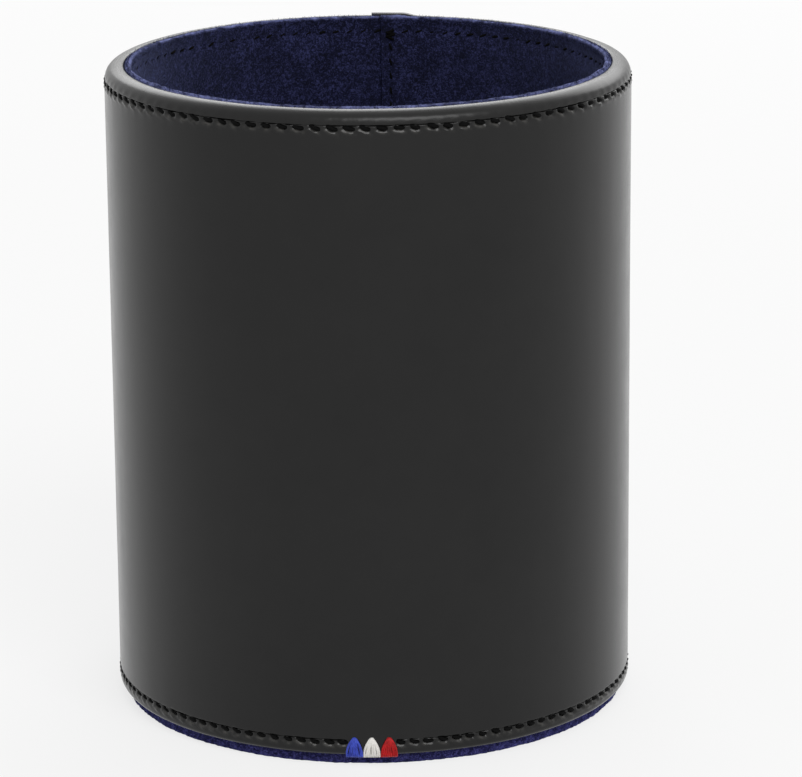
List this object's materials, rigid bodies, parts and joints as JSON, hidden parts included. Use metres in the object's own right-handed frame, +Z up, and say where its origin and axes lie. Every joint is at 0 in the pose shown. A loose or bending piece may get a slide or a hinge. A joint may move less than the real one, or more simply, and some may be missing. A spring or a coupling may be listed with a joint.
{
  "type": "pen holder",
  "caption": "Round leather pen holder with turned, stitched edges, a suede lining, a lapped back seam and a felt base with thread tacks at the front.",
  "frame": {"origin": "middle of the felt pad's underside, on the desk", "axes": "+Z up along the cup's axis, front with the coloured tacks towards -Y, +X to the right"},
  "size_m": [0.0826, 0.0831, 0.1022],
  "materials": {
    "black_leather": "smooth calf, semi-gloss",
    "navy_suede": "short napped suede, matt",
    "grey_board": "dense bookbinder's board, matt",
    "navy_felt": "pressed felt with a cut edge, matt",
    "black_thread": "waxed twisted thread, satin",
    "blue_thread": "twisted thread, satin",
    "white_thread": "twisted thread, satin",
    "red_thread": "twisted thread, satin"
  },
  "bodies": {
    "root": {"outer_leather": "black_leather", "core_board": "grey_board", "suede_lining": "navy_suede", "base_board": "grey_board", "floor_suede": "navy_suede", "base_pad": "navy_felt", "top_seam_outer_stitches": "black_thread", "top_seam_inner_stitches": "black_thread", "foot_seam_outer_stitches": "black_thread", "foot_seam_inner_stitches": "black_thread", "back_seam_outer_stitches": "black_thread", "back_seam_inner_stitches": "black_thread", "blue_tack": "blue_thread", "white_tack": "white_thread", "red_tack": "red_thread"}
  },
  "joints": []
}
